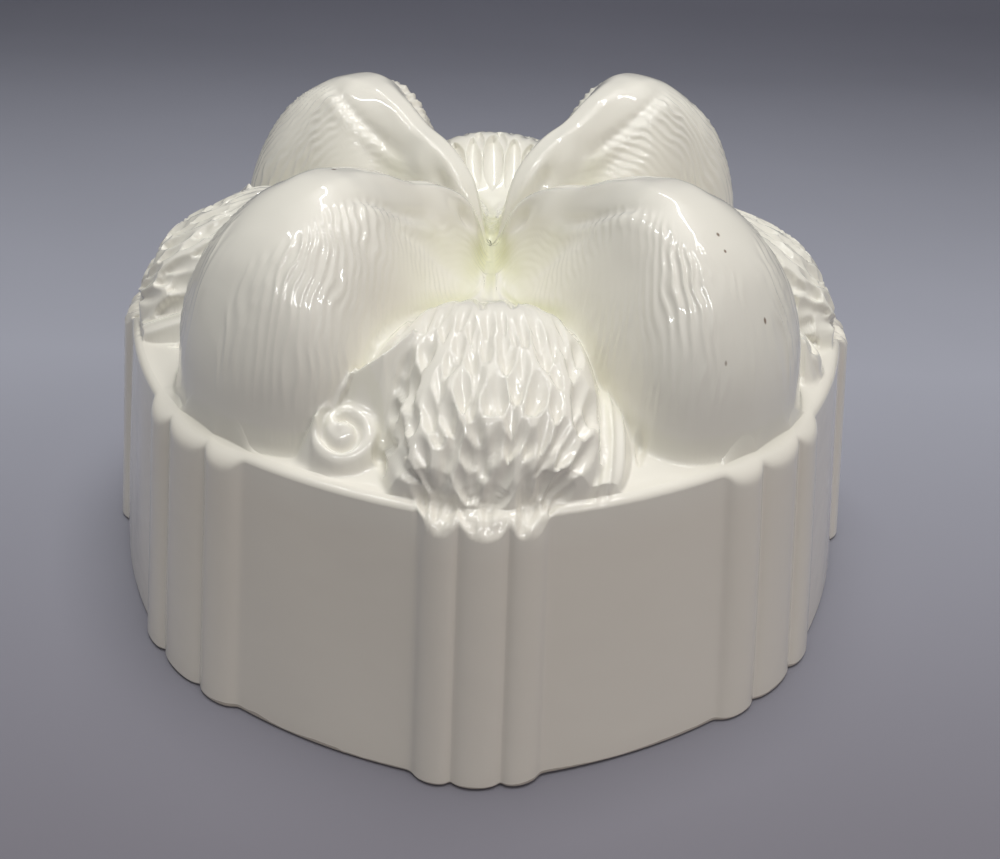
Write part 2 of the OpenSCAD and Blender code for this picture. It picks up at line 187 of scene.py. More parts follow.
# Fine relief starts this far below the rim, mm.
RELIEF_BELOW = 4.2
QUARTER = math.pi / 2


# ---------------------------------------------------------------- small tools


def linear(code):
    """An sRGB hex colour as linear RGBA."""
    parts = [int(code[i : i + 2], 16) / 255 for i in (1, 3, 5)]
    return tuple(c / 12.92 if c <= 0.04045 else ((c + 0.055) / 1.055) ** 2.4 for c in parts) + (1.0,)


def ease(s):
    """0 to 1 with a level start and end."""
    c = np.clip(s, 0, 1)
    return c * c * (3 - 2 * c)


def curve(table, soft=0.014):
    """A table as a smooth function: its straight runs are rounded over a short reach."""
    at, value = (np.array(c, float) for c in zip(*table))
    span = at[-1] - at[0]
    fine = np.linspace(at[0] - 0.1 * span, at[-1] + 0.1 * span, 1600)
    step = fine[1] - fine[0]
    reach = np.arange(-60, 61) * step
    weight = np.exp(-0.5 * (reach / (soft * span)) ** 2)
    rounded = np.convolve(np.interp(fine, at, value), weight / weight.sum(), mode="same")
    return lambda s: np.interp(s, fine[60:-60], rounded[60:-60])


def over(a, b, blend):
    """The higher of two surfaces, joined by a fillet."""
    h = np.maximum(blend - np.abs(a - b), 0) / blend
    return np.maximum(a, b) + h * h * blend / 4


def bump(d, width):
    """A bell of height 1."""
    return np.exp(-0.5 * (d / width) ** 2)


def drift(x, y, size, seed):
    """Slow, seeded unevenness between about -1 and 1, as hand work leaves it."""
    rng = np.random.default_rng(seed)
    total = 0
    for _ in range(6):
        a, phase = rng.uniform(0, 2 * math.pi), rng.uniform(0, 2 * math.pi)
        scale = rng.uniform(0.7, 1.5)
        along = x * math.cos(a) + y * math.sin(a)
        total = total + np.sin(along * scale * 2 * math.pi / size + phase)
    return total / 3


leaf_spread_at = curve(LEAF_SPREAD, 0.03)
crest_at, lobe_half_at, hollow_at = curve(CREST_LINE, 0.01), curve(LOBE_PLAN), curve(HOLLOW_RUN)
bunch_at, bunch_left_at, bunch_right_at = curve(BUNCH_LINE), curve(BUNCH_LEFT), curve(BUNCH_RIGHT)
scroll_edge_at, scroll_groove_at = curve(SCROLL_EDGE, 0.03), curve(SCROLL_GROOVE, 0.02)


def axes_of(x, y, azimuth):
    """Distance out along a direction and across it; azimuth 0 is the front, 90 the right."""
    a = math.radians(azimuth)
    return x * math.sin(a) - y * math.cos(a), x * math.cos(a) + y * math.sin(a)


# ---------------------------------------------------------------- height of the crown


class Crown:
    """Height of the crown above the rim, in mm, at any place in the plan."""

    def __init__(self, size, plan):
        self.s = size
        self.groove_r = size.mouth_across / MM / 2 - size.reed_rise / MM
        self.q = self.groove_r / PLAN_REF
        self.rim_share = 1 - size.wall_h / MM * math.tan(size.wall_draft) / self.groove_r
        azimuth = np.arctan2(plan[:, 0], -plan[:, 1])
        order = np.argsort(azimuth)
        lean_in = size.wall_h / MM * math.tan(size.wall_draft)
        radius = np.hypot(plan[:, 0], plan[:, 1]) - lean_in - LIP_IN
        self.rim_azimuth, self.rim_r = azimuth[order], radius[order]
        self.outer_leaves = self.leaf_rows()

    def rim(self, x, y):
        """Distance of the rim from the middle, in the direction of each place."""
        return np.interp(np.arctan2(x, -y), self.rim_azimuth, self.rim_r, period=2 * math.pi)

    def core(self, x, y):
        """The ledge inside the rim, rising to the middle of the crown."""
        r = np.hypot(x, y)
        low, high = self.s.ledge_rise / MM, self.s.middle_rise / MM
        edge = ease((1 - r / self.rim(x, y)) / 0.09)
        return low * edge + (high - low) * np.maximum(0, 1 - (r / (MIDDLE_REACH * self.q)) ** 2)

    def lobe(self, x, y, place, turn, extra, width):
        """Height of one lobe, with the distance along it and down its side from the crest."""
        u, v = axes_of(x, y, place + turn)
        s = u / (self.s.lobe_reach / MM * self.q)
        half = np.maximum(width * self.s.lobe_half_w / MM * self.q * lobe_half_at(s), 0.01)
        w = np.minimum(np.abs(v) / half, 1)
        beyond = np.maximum(s - 1, 0) * self.s.lobe_reach / MM
        past = np.hypot(np.maximum(np.abs(v) - half, 0), beyond)
        floor = self.core(x, y)
        rise = (self.s.lobe_rise / MM + extra) * crest_at(s)
        band = np.minimum(self.s.crest_half_w / MM, 0.5 * half)
        level = 0.6 * band
        spoon = (1 - np.clip((np.abs(v) - level) / (half - level), 0, 1)) ** 1.7
        full = np.sqrt(np.maximum(0, 1 - w**self.s.lobe_fullness))
        share = spoon + (full - spoon) * ease((s - 0.2) / 0.4)
        off = (np.abs(v) - 8) / 3.8
        dip = 1.0 * hollow_at(s) * np.maximum(0, 1 - off * off)
        nose = 2.5 * np.maximum(s - 0.985, 0) * self.s.lobe_reach / MM
        z = np.where(s > 0, floor + (rise - floor) * share - dip - 2.5 * past - nose, NOWHERE)
        inside = (s > 0) & (s < 1) & (np.abs(v) < half)
        return z, u, v, np.hypot(np.maximum(rise - z, 0), v), inside

    def lobes(self, x, y):
        """The highest of the four lobes."""
        z = np.full_like(x, NOWHERE)
        for row in LOBES:
            z = np.maximum(z, self.lobe(x, y, *row)[0])
        return z

    def bunch(self, across, out):
        """Height of one bunch of leaves, steep where it comes down on the rim."""
        s = out / (BUNCH_REACH * self.q)
        half = np.where(across < 0, bunch_left_at(s), bunch_right_at(s))
        half = np.maximum(self.s.bunch_half_w / MM * self.q * half, 0.01)
        w = np.minimum(np.abs(across) / half, 1)
        floor = self.core(across, out)
        z = floor + (self.s.bunch_rise / MM * bunch_at(s) - floor) * np.sqrt(1 - w**2.3)
        steep = 1.2 + 2.5 * (self.rim_share * self.groove_r - 1.2 - out)
        z = -over(-z, -steep, 5.0)
        return np.where(s > 0.19, z - 2.5 * np.maximum(np.abs(across) - half, 0), NOWHERE)

    def bunches(self, x, y):
        """The highest of the four bunches."""
        z = np.full_like(x, NOWHERE)
        for k in range(4):
            out, across = axes_of(x, y, 90 * k)
            z = np.maximum(z, self.bunch(across, out))
        return z

    def plain(self, x, y):
        """Main forms: ledge, middle, lobes, and bunches that run into the lobes in wide fillets."""
        r = np.hypot(x, y)
        wide = 1.4 + 4.6 * ease((70 - r / self.q) / 22)
        foot = 0.5 + 2.9 * ease((self.rim(x, y) - r) / 7)
        return over(over(self.core(x, y), self.lobes(x, y), foot), self.bunches(x, y), wide)

    def soft(self, x, y, reach):
        """The plain forms with their edges softened by glaze: a mean over a small patch."""
        total, weight = self.plain(x, y), 1.0
        for ring, count, share in ((0.5, 6, 0.9), (1.0, 10, 0.6)):
            for i in range(count):
                a = 2 * math.pi * (i + ring) / count
                dx, dy = reach * ring * math.cos(a), reach * ring * math.sin(a)
                total = total + share * self.plain(x + dx, y + dy)
                weight += share
        return total / weight

    @staticmethod
    def leaf_rows():
        """Rows of outer leaves: across and down of base, middle and tip, and the half width."""
        rng = np.random.default_rng(12)
        rows = []
        for row in range(LEAF_ROWS):
            for i in range(LEAVES_ACROSS - row % 2):
                place = (2 * i + 1 + row % 2) / LEAVES_ACROSS - 1
                place = place + rng.uniform(-0.04, 0.04)
                base = FIRST_ROW + LEAF_ROW_GAP * row + rng.uniform(-1.6, 1.6)
                tip = base + LEAF_LENGTH * rng.uniform(0.85, 1.2)
                middle = (base + tip) / 2
                ends = [place * float(leaf_spread_at(t)) for t in (base, middle, tip)]
                head = min(REED_HEADS, key=lambda h: abs(h - ends[2]))
                pull = 0.5 * float(ease((tip - 56) / 10))
                ends[2] = ends[2] + (head - ends[2]) * pull + rng.uniform(-0.9, 0.9)
                ends[1] = ends[1] + rng.uniform(-0.9, 0.9)
                half = float(leaf_spread_at(middle)) / LEAVES_ACROSS * rng.uniform(0.8, 1.15)
                rows.append((ends[0], base, ends[1], middle, ends[2], tip, half))
        return rows

    @staticmethod
    def spindles(table, across, out):
        """Overlapping leaves: spindles with a bent spine, highest towards the tip."""
        z = np.zeros_like(across)
        steps = 6
        for ax, ao, bx, bo, cx, co, half in table:
            low_x, high_x = min(ax, bx, cx) - half, max(ax, bx, cx) + half
            low_o, high_o = min(ao, co) - half, max(ao, co) + half
            k = np.flatnonzero((across > low_x) & (across < high_x) & (out > low_o) & (out < high_o))
            if not k.size:
                continue
            px, po = across[k], out[k]
            t = np.linspace(0, 1, steps + 1)
            hx, ho = 2 * bx - (ax + cx) / 2, 2 * bo - (ao + co) / 2
            lx = (1 - t) ** 2 * ax + 2 * t * (1 - t) * hx + t * t * cx
            lo = (1 - t) ** 2 * ao + 2 * t * (1 - t) * ho + t * t * co
            off, s = np.full(k.size, 99.0), np.zeros(k.size)
            for i in range(steps):
                dx, do = lx[i + 1] - lx[i], lo[i + 1] - lo[i]
                f = np.clip(((px - lx[i]) * dx + (po - lo[i]) * do) / (dx * dx + do * do), 0, 1)
                d = np.hypot(px - lx[i] - f * dx, po - lo[i] - f * do)
                s = np.where(d < off, (i + f) / steps, s)
                off = np.minimum(d, off)
            width = 1.15 * half * np.maximum(np.sin(math.pi * s**1.2), 1e-3) ** 0.6
            w = np.minimum(off / width, 1)
            high = (1.05 * half + 0.45) * (0.12 + 0.88 * ease(s / 0.8)) * (1 - w * w) ** 0.65
            z[k] = np.maximum(z[k], high)
        return z

    def scroll(self, across, out):
        """A rolled leaf end at one side of a bunch, on a face that leans to the rim."""
        cx, co, lift = SCROLL_PLACE
        fall = math.hypot(1, SCROLL_FALL)
        x, w = across / self.q - cx, (out / self.q - co) * fall
        r, a = np.hypot(x, w), np.degrees(np.arctan2(-w, x)) % 360
        edge = scroll_edge_at(a)
        cut = np.zeros_like(r)
        for turn in (0, 360):
            t = a + turn
            fade = ease((t - GROOVE_START) / 50) * ease((GROOVE_END - t) / 50)
            groove = bump(r - scroll_groove_at(t), 0.55) * fade
            cut = np.maximum(cut, np.where((t > GROOVE_START) & (t < GROOVE_END), groove, 0))
        roll = np.sqrt(np.maximum(0, 1 - np.minimum(r / edge, 1) ** 5))
        round_over, eye = 1.3 * (roll - 1), 0.5 * bump(r, 0.9)
        z = lift - w / fall * SCROLL_FALL + (round_over - 1.2 * cut + eye) * fall
        return z - 2.2 * np.maximum(r - edge, 0), r < edge + 3

    @staticmethod
    def side_spine(across, out):
        """Distance across from the bent line that the side leaf and its ribs follow."""
        return across + SIDE_BEND * (out - 62) ** 2

    def side_leaf(self, across, out):
        """One long, thin-edged leaf that lies against the other side of a bunch."""
        across, out = across / self.q, out / self.q
        a = (self.side_spine(across, out) - SIDE_PLACE[0]) / SIDE_HALF_W
        b = (out - SIDE_PLACE[1]) / SIDE_HALF_L
        n = a * a + b * b
        lift = SIDE_RISE - 0.3 * (out - 60)
        return lift * np.maximum(1 - n, 0) ** 0.4 - 8 * np.maximum(n - 1, 0)

    def stem(self, across, out):
        """The stem that unrolls from the scroll up to the bunch, as a ridge with steep sides."""
        z = np.full_like(across, NOWHERE)
        for (ax, ao, az), (bx, bo, bz) in zip(STEM, STEM[1:]):
            dx, do = bx - ax, bo - ao
            f = np.clip(((across - ax) * dx + (out - ao) * do) / (dx * dx + do * do), 0, 1)
            off_x, off_o = across - ax - f * dx, out - ao - f * do
            slope = np.where(off_o > 0, 2.3, 2.6)
            past = np.maximum(np.hypot(off_x, off_o) - 0.5, 0)
            z = np.maximum(z, az + f * (bz - az) - slope * past)
        return z

    def height(self, x, y):
        """Everything that is drawn as height over the plan."""
        z = self.soft(x, y, 1.1)
        for k in range(4):
            out, across = axes_of(x, y, 90 * k)
            near = (out > 0) & (np.abs(across) < out)
            flap = self.side_leaf(across, out)
            z = np.where(near & (flap > -3), over(z, flap, 1.6), z)
            stem = self.stem(across / self.q, out / self.q)
            z = np.where(near & (stem > -3), over(z, stem, 1.6), z)
            curl, inside = self.scroll(across, out)
            z = np.where(near & inside, over(z, curl, 1.4), z)
        return z

    def bunch_relief(self, k, x, y, z, below):
        """Leaves of one bunch, with its smooth stem and its ribbed side leaf."""
        out, across = axes_of(x, y, 90 * k)
        near = (out > 0) & (np.abs(across) < out)
        leafy = np.clip((self.bunch(across, out) - below) / 1.5, 0, 1)
        flap = self.side_leaf(across, out)
        out, across = out / self.q, across / self.q
        down = DOWN_PER_OUT * out + DOWN_PER_FALL * (self.s.bunch_rise / MM - z)
        # The lowest leaves run on over the heads of the reeds.
        heads = ease((12.8 - np.abs(across)) / 1.5) * ease((out - 73) / 4) * ease((z + 3.6) / 1.6)
        cover = np.maximum(leafy * ease((z + 0.4) / 0.8), heads)
        outer = self.spindles(self.outer_leaves, across, down) - 1.0
        outer = outer * cover * (0.4 + 0.6 * ease((down - 27) / 8))
        laid = 0.9 * self.spindles(OVERLAID, across, down) * ease((z - 0.6) / 1.5)
        outer = np.maximum(outer, laid) * ease((out - 47) / 4)
        stem = self.stem(across, out) - z
        edge = 0.4 * bump(stem, 0.5) * (across < -12)
        outer = outer * (1 - ease((stem + 1.2) / 1.0)) + edge
        wave = np.sin(math.pi * self.side_spine(across, out) / SIDE_RIB_GAP)
        on_flap = (flap > z - 0.8) & (flap > 0.5)
        outer = outer + 0.5 * (np.abs(wave) ** 0.8 - 0.6) * on_flap * ease((flap - 0.5) / 2)
        inner = 0.6 * self.spindles(INNER_LEAVES, across, out)
        return np.where(near, np.where(inner > 0, np.maximum(inner, outer), outer), 0)

    def lobe_relief(self, i, x, y, z, others, ground):
        """Growth lines, facet, neck, knob and unevenness of one lobe."""
        top, u, v, depth, inside = self.lobe(x, y, *LOBES[i])
        seen = inside & (top > others) & (top > ground)
        u, v, depth, high = u / self.q, v / self.q, depth / self.q, z / self.q
        flank = depth * np.sign(v) * (1 if i in (0, 2) else -1)
        to_end = ease((u - 60) / 12)

        warp = drift(u + 60 * i, flank, 17, 11) + 0.5 * drift(u + 40 * i, flank, 7, 13)
        from_u, from_v, from_z = GROWTH_FROM
        r = np.sqrt((u - from_u) ** 2 + (np.abs(v) - from_v) ** 2 + (high - from_z) ** 2)
        r = r + 1.1 * (20 - np.abs(v)) * ease((u - 46) / 18)
        phase = np.log(GROWTH_GAP + GROWTH_OPENING * r) / GROWTH_OPENING + 0.36 * warp
        size = 0.2 + 0.34 * ease((r - 18) / 14)
        size = size * ease((depth - 7 + 9 * to_end) / 4) * (1 - 0.35 * to_end)
        size = size * (0.75 + 0.45 * drift(u, flank, 24, 29 + i)) * ease((high - 7) / 9)
        if i == 1:
            # Thick glaze hides the lines on the bulge of this lobe.
            size = size * (1 - 0.8 * bump(u - 48, 9) * bump(depth - 20, 8))
        lines = size * (np.abs(np.sin(math.pi * phase)) ** 0.75 - 0.65)

        fold = depth + 2.6 * ((u - 38) / 14) ** 2
        lens = -0.3 * bump(fold - 7, 1.6) + 0.4 * bump(fold - 10, 0.9)
        lens = lens - 0.45 * bump(fold - 12.4, 1.3)
        facet = ease((u - 22) / 8) * ease((54 - u) / 10) * lens
        neck = -0.8 * bump(u - 20, 2.4) * bump(depth - 6.5, 2.4)
        knob = 1.2 * bump(u - 12.6, 1.7) * bump(depth - 6.4, 1.5)
        if i == 1:
            bulge = 1.2 * bump(u - 50, 6.5) * bump(depth - 20, 6)
        else:
            bulge = 0.4 * drift(u, flank, 30, 7 + i)
        return np.where(seen, lines + facet + neck + knob + bulge * ease((depth - 8) / 6), 0)

    def relief(self, x, y, z):
        """Fine relief that stands square to the surface."""
        d = np.zeros_like(x)
        others, ground = self.bunches(x, y), self.core(x, y)
        below = over(ground, self.lobes(x, y), 1.6)
        for k in range(4):
            d = d + self.bunch_relief(k, x, y, z, below)
        for i in range(len(LOBES)):
            d = d + self.lobe_relief(i, x, y, z, others, ground)
        # Glaze fills the narrow channels that cross in the middle.
        reach = np.hypot(x, y) / self.q
        front_back = bump(x / self.q, 1.5) * ease((31 - reach) / 5)
        left_right = bump(y / self.q, 1.5) * ease((26 - reach) / 5)
        return d + 0.7 * (front_back + left_right)


# ---------------------------------------------------------------- skin of the casting


def quarter_plan(size, steps):
    """Plan of the wall's grooves and reeds for one quarter: x, y and the share of a reed there."""
    rise = size.reed_rise / MM
    groove = size.mouth_across / MM / 2 - rise
    face_m, face_s = size.face_reed_mid / MM, size.face_reed_side / MM
    corner_m, corner_s = size.corner_reed_mid / MM, size.corner_reed_side / MM
    per_face, per_corner, per_panel = steps

    def at(across, out, azimuth):
        a = math.radians(azimuth)
        return across * math.cos(a) + out * math.sin(a), across * math.sin(a) - out * math.cos(a)

    def reeds(ts, rs, azimuth, count):
        rows = []
        for k in range(3):
            for i in range(count):
                s = 0.5 - 0.5 * math.cos(math.pi * i / count)
                arch = math.sqrt(max(0, 1 - (2 * s - 1) ** 2))
                t, r = ts[k] + (ts[k + 1] - ts[k]) * s, rs[k] + (rs[k + 1] - rs[k]) * s
                rows.append((*at(t, r + rise * arch, azimuth), arch))
        return rows

    def panel(p0, p1):
        p0, p1 = np.array(p0), np.array(p1)
        d = p1 - p0
        n = np.array([d[1], -d[0]]) / np.linalg.norm(d)
        rows = []
        for i in range(per_panel):
            s = i / per_panel
            p = p0 + d * s + n * size.panel_bow / MM * (1 - (2 * s - 1) ** 2)
            rows.append((p[0], p[1], 0.0))
        return rows

    ft = (-face_m / 2 - face_s, -face_m / 2, face_m / 2, face_m / 2 + face_s)
    fr = (groove - 2, groove, groove, groove - 2)
    ct = (-corner_m / 2 - corner_s, -corner_m / 2, corner_m / 2, corner_m / 2 + corner_s)
    cr = (groove - 4, groove - 2.2, groove - 2.2, groove - 4)
    rows = reeds(ft, fr, 0, per_face)
    rows += panel(at(ft[3], fr[3], 0), at(ct[0], cr[0], 45))
    rows += reeds(ct, cr, 45, per_corner)
    rows += panel(at(ct[3], cr[3], 45), at(ft[0], fr[0], 90))
    return np.array(rows)


def whole_plan(size, steps, soft):
    """The four quarters, with grooves and reeds rounded by glaze over a reach of soft mm."""
    quarter = quarter_plan(size, steps)
    parts = []
    for k in range(4):
        c, s = math.cos(QUARTER * k), math.sin(QUARTER * k)
        x, y = quarter[:, 0], quarter[:, 1]
        parts.append(np.stack([x * c - y * s, x * s + y * c, quarter[:, 2]], 1))
    plan = np.concatenate(parts)
    gap = np.linalg.norm(np.roll(plan[:, :2], -1, 0) - plan[:, :2], axis=1)
    along = np.concatenate([[0], np.cumsum(gap)[:-1]])
    away = np.abs(along[:, None] - along[None, :])
    away = np.minimum(away, gap.sum() - away)
    weight = np.exp(-0.5 * (away / soft) ** 2) * (gap + np.roll(gap, 1))[None, :]
    return weight @ plan / weight.sum(1, keepdims=True)


def stitch(a, na, b, nb):
    """Faces from a ring of na points to the next one inwards, of as many or half as many."""
    if na == nb:
        i = np.arange(na)
        j = (i + 1) % na
        return [tuple(f) for f in np.stack([a + i, b + i, b + j, a + j], 1).tolist()]
    i = np.arange(nb)
    j = (i + 1) % nb
    a0, a1, a2 = a + 2 * i, a + 2 * i + 1, a + (2 * i + 2) % na
    corners = (a0, b + i, a1), (a1, b + i, b + j), (a1, b + j, a2)
    tris = np.concatenate([np.stack(t, 1) for t in corners])
    return [tuple(f) for f in tris.tolist()]


def normals_of(points, faces):
    """Smooth vertex normals of a closed skin."""
    n = np.zeros_like(points)
    quads = np.array([f for f in faces if len(f) == 4])
    tris = np.array([f for f in faces if len(f) == 3])
    for f in (quads, tris):
        a, b = points[f[:, 2]] - points[f[:, 0]], points[f[:, -1]] - points[f[:, 1]]
        if f.shape[1] == 3:
            b = points[f[:, 2]] - points[f[:, 1]]
            a = points[f[:, 1]] - points[f[:, 0]]
        c = np.cross(a, b)
        for k in range(f.shape[1]):
            np.add.at(n, f[:, k], c)
    return n / np.maximum(np.linalg.norm(n, axis=1, keepdims=True), 1e-12)


class Skin:
    """Rings of points joined into a closed skin, with the pieces that it is cut into."""

    def __init__(self):
        self.points, self.faces, self.owner = [], [], []
        self.count, self.last = 0, None

    def ring(self, pts, piece):
        """Add a ring of points, joined to the last one by faces of the piece."""
        if self.last is not None:
            made = stitch(self.last[0], self.last[1], self.count, len(pts))
            self.faces += made
            self.owner += self.owners(piece, len(made))
        self.last = (self.count, len(pts))
        self.points.append(pts)
        self.count += len(pts)

    @staticmethod
    def owners(piece, count):
        """The crown is cut into its four quarters, one piece each."""
        if piece != "moulded_crown":
            return [piece] * count
        return [f"{piece}_{1 + 4 * i // count}" for i in range(count)]

    def cap(self, point, piece):
        """Close the last ring with a fan of faces to one point."""
        a, n = self.last
        made = [(a + i, self.count, a + (i + 1) % n) for i in range(n)]
        self.faces += made
        self.owner += self.owners(piece, n)
        self.points.append(np.array([point]))
        self.count += 1


def casting(size):
    """Points in mm, faces, piece of each face, and how deep the glaze has pooled at each point."""
    wall_h, wall_t = size.wall_h / MM, size.wall_t / MM
    lean = math.tan(size.wall_draft)
    plan = whole_plan(size, PLAN_STEPS, PLAN_ROUNDING)
    crown = Crown(size, plan)
    reed = plan[:, 2]
    skin = Skin()

    def level(z, back, step=1):
        """A ring of the wall at height z, set back by some mm."""
        p = plan[::step]
        r = np.hypot(p[:, 0], p[:, 1])
        back, z = (np.broadcast_to(v, reed.shape)[::step] for v in (back, z))
        share = 1 - (z * lean + back) / r
        return np.stack([p[:, 0] * share, p[:, 1] * share, z], 1)

    def round_wall(radius, reach, seed):
        """Seeded unevenness that runs round the wall."""
        azimuth = np.arctan2(plan[:, 0], -plan[:, 1])
        return drift(np.cos(azimuth) * radius, np.sin(azimuth) * radius, reach, seed)

    # The mouth isn't quite level, and each wall is a little out of true.
    foot = 0.14 * (1 + round_wall(90, 60, 5))
    foot = foot - foot.min()
    radius = size.foot_round / MM
    for a in (0, 22, 45, 68):
        s, c = math.sin(math.radians(a)), math.cos(math.radians(a))
        skin.ring(level(foot + radius * (1 - c), radius * (1 - s)), "reeded_wall")
    drop = size.lip_drop / MM + size.reed_head_drop / MM * reed
    round_in = LIP_IN + REED_HEAD_IN * reed
    wobble = 0.16 * round_wall(PLAN_REF, 26, 17)
    for s in np.linspace(0, 1, 15):
        z = foot * (1 - s) + radius + (wall_h - drop - radius - foot * (1 - s)) * s
        skin.ring(level(z, wobble * math.sin(math.pi * s)), "reeded_wall")
    for a in (12, 25, 38, 52, 66, 80):
        s, c = math.sin(math.radians(a)), math.cos(math.radians(a))
        swell = 0.25 * math.sin(2 * math.radians(a)) * reed
        skin.ring(level(wall_h - drop * (1 - s), round_in * (1 - c) - swell), "moulded_crown")

    def crown_ring(share, step):
        """A ring of the crown, at some share of the way out to the rim."""
        p = plan[::step]
        r = np.hypot(p[:, 0], p[:, 1])
        edge = 1 - (wall_h * lean + round_in[::step]) / r
        x, y = p[:, 0] * edge * share, p[:, 1] * edge * share
        z = wall_h + crown.height(x, y)
        return np.stack([x, y, z], 1)

    lip, first = skin.points[-1], crown_ring(CROWN_RINGS[0][0], 1)
    for s in np.arange(1, CLIFF_RINGS) / CLIFF_RINGS:
        skin.ring(lip * (1 - s) + first * s, "moulded_crown")
    for top, low, step, gap in CROWN_RINGS:
        count = int(round((top - low) * 80 / gap))
        for share in np.linspace(top, low, count):
            skin.ring(crown_ring(share, step), "moulded_crown")
    # The cap's height is read just beside the middle, which itself has no direction.
    middle = np.array([0.0]), np.array([0.01])
    skin.cap((0, 0, wall_h + float(crown.height(*middle)[0])), "moulded_crown")

    points = np.concatenate(skin.points)
    normals = normals_of(points, skin.faces)
    on_crown = points[:, 2] > wall_h - RELIEF_BELOW
    x, y = points[:, 0], points[:, 1]
    raised = np.where(on_crown, crown.relief(x, y, points[:, 2] - wall_h), 0)
    points = points + normals * raised[:, None]

    # Glaze pools where the surface lies below the mean of its surroundings.
    pool = np.zeros(len(points))
    at = np.where(on_crown)[0]
    px, py = x[at], y[at]
    for reach in (2.0, 4.0):
        mean = 0
        for i in range(8):
            a = math.pi * i / 4
            mean = mean + crown.plain(px + reach * math.cos(a), py + reach * math.sin(a)) / 8
        pool[at] += np.clip((mean - crown.plain(px, py)) / (reach * 0.9), -0.4, 1)
    reach = np.hypot(x, y) / crown.q
    pool = np.clip(0.5 * pool, 0, 1) * (0.12 + 0.88 * ease((48 - reach) / 24))

    # The hollow: the same rings again, one clay thickness inside.
    outer_count = len(points)
    inner = Skin()

    def under(x, y):
        """Height of the hollow's roof: lower than every place of the crown within the clay."""
        low = crown.plain(x, y) - wall_t
        for i in range(8):
            a = math.pi * i / 4
            for aside, down in ((wall_t * 1.25, 0), (wall_t * 0.8, wall_t * 0.7)):
                above = crown.plain(x + aside * math.cos(a), y + aside * math.sin(a))
                low = np.minimum(low, above - down)
        return low

    def under_soft(x, y):
        """The same roof with its edges rounded."""
        total = under(x, y)
        for i in range(6):
            a = math.pi * i / 3
            total = total + under(x + wall_t * 0.5 * math.cos(a), y + wall_t * 0.5 * math.sin(a))
        return total / 7

    back = wall_t + 2 * reed
    inner.ring(level(0, back - 0.6, 2), "hollow")
    for z in (0.5, 18, 36, wall_h - wall_t - 4):
        inner.ring(level(z, back, 2), "hollow")
    for shares, step in ((np.linspace(0.95, 0.4, 34), 4), (np.linspace(0.38, 0.02, 22), 8)):
        for share in shares:
            p = plan[::step]
            x, y = p[:, 0] * crown.rim_share * share, p[:, 1] * crown.rim_share * share
            inner.ring(np.stack([x, y, wall_h + under_soft(x, y)], 1), "hollow")
    inner.cap((0, 0, wall_h + float(under_soft(*middle)[0])), "hollow")

    faces = list(skin.faces)
    owner = list(skin.owner)
    sole = stitch(0, len(plan), outer_count, len(plan) // 2)
    faces += [tuple(reversed(f)) for f in sole]
    owner += ["hollow"] * len(sole)
    faces += [tuple(outer_count + i for i in reversed(f)) for f in inner.faces]
    owner += ["hollow"] * len(inner.faces)
    points = np.concatenate([points, np.concatenate(inner.points)])
    # Inside, the glaze is taken as evenly thin.
    pool = np.concatenate([pool, np.full(len(points) - outer_count, 0.15)])
    return points, faces, owner, pool


def make_piece(name, points, faces, normals, pool, material):
    """One mesh piece of the casting, with the normals that the whole skin has there."""
    used = np.unique(np.concatenate([np.array(f) for f in faces]))
    where = np.full(len(points), -1)
    where[used] = np.arange(len(used))
    mesh = bpy.data.meshes.new(name)
    corners = [tuple(where[list(f)].tolist()) for f in faces]
    mesh.from_pydata((points[used] * MM).tolist(), [], corners)
    mesh.polygons.foreach_set("use_smooth", np.ones(len(mesh.polygons), bool))
    mesh.update()
    mesh.normals_split_custom_set_from_vertices(normals[used].tolist())
    layer = mesh.attributes.new("glaze_pool", "FLOAT", "POINT")
    layer.data.foreach_set("value", pool[used].astype(np.float32))
    mesh.materials.append(material)
    piece = bpy.data.objects.new(name, mesh)
    bpy.context.scene.collection.objects.link(piece)
    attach(piece, BODY)
    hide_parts(NODE)
    return piece


# ---------------------------------------------------------------- materials


def add_node(tree, kind, links=None, **settings):
    """A node with its settings; links gives its inputs, as values or as other nodes' outputs."""
    node = tree.nodes.new(kind)
    for key, value in settings.items():
        setattr(node, key, value)
    for key, value in (links or {}).items():
        if isinstance(value, bpy.types.NodeSocket):
            tree.links.new(value, node.inputs[key])
        else:
            node.inputs[key].default_value = value
    return node


def empty_material(name):
    """A material with no nodes yet."""
    material = bpy.data.materials.new(name)
    material.use_nodes = True
    material.node_tree.nodes.clear()
    return material


